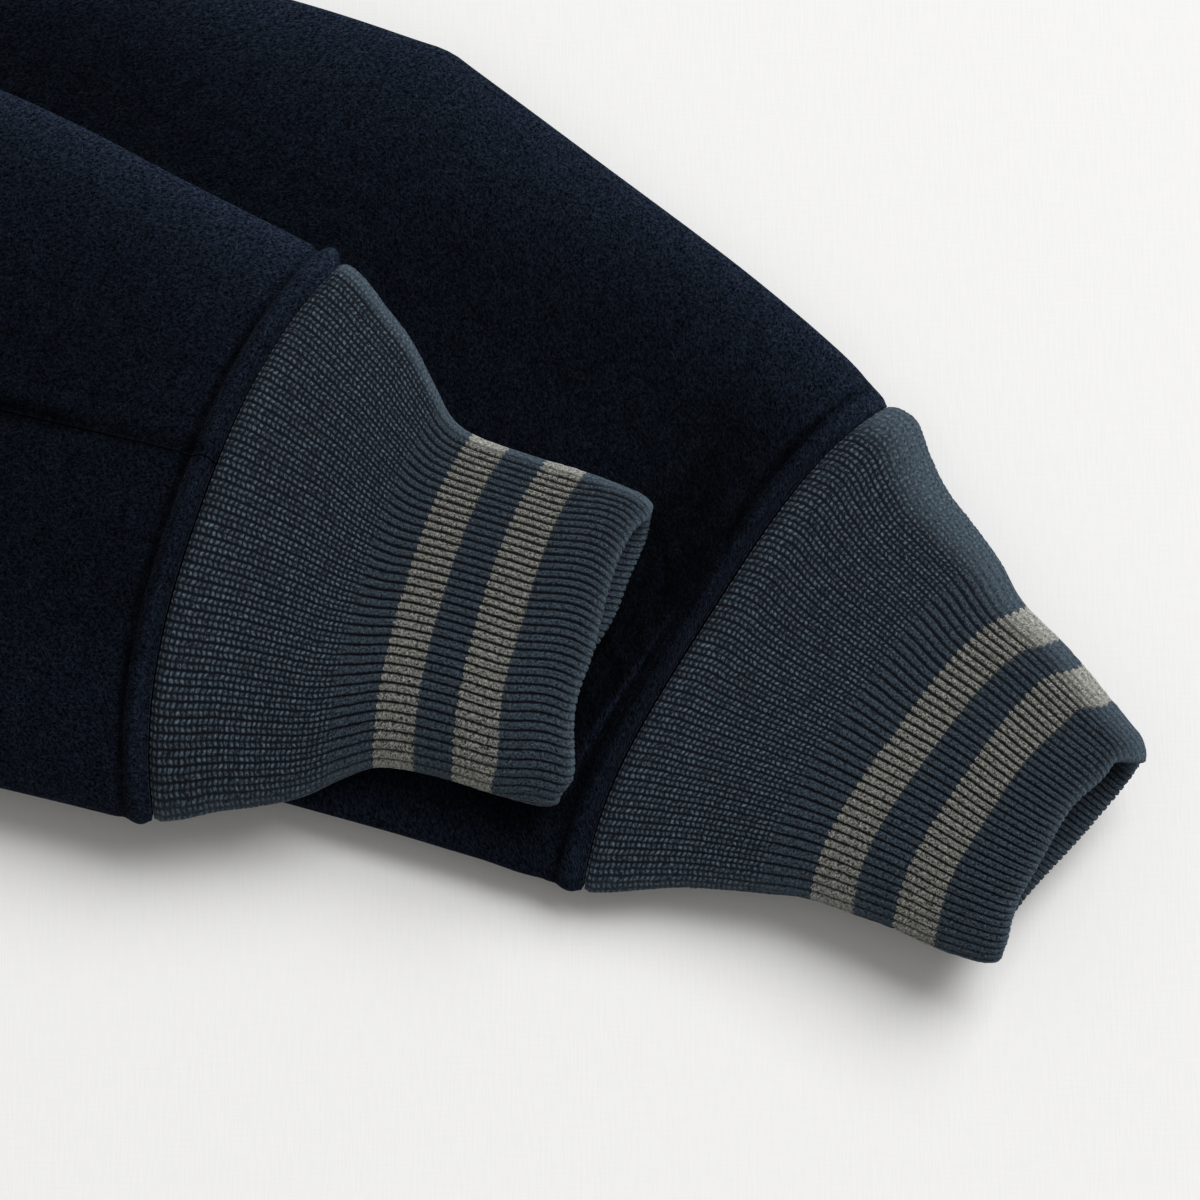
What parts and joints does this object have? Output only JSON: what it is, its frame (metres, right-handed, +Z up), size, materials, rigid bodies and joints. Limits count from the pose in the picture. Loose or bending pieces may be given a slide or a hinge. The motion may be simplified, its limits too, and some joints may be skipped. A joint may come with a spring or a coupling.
{
  "type": "golf jacket",
  "caption": "Navy wool jacket with striped rib-knit cuffs, folded lengthwise on a table with its back outside and one sleeve laid on the other.",
  "frame": {"origin": "on the table, under the middle of the whole jacket's box", "axes": "+X from the fold of the body towards the sleeves, +Y from the hem towards the neck, +Z up from the table"},
  "size_m": [0.8714, 0.7151, 0.0427],
  "materials": {
    "melton": "felted navy wool melton with a soft short nap",
    "rib_knit": "slate wool rib knit; the cuffs have two grey-beige stripes",
    "horn": "dark horn-like plastic, satin"
  },
  "bodies": {
    "root": {"back": "melton", "right_front": "melton", "left_front": "melton", "right_upper_sleeve": "melton", "right_under_sleeve": "melton", "left_upper_sleeve": "melton", "left_under_sleeve": "melton", "right_cuff": "rib_knit", "left_cuff": "rib_knit", "collar": "rib_knit", "hem_rib": "rib_knit", "button_1": "horn", "button_2": "horn", "button_3": "horn", "button_4": "horn", "button_5": "horn"}
  },
  "joints": []
}
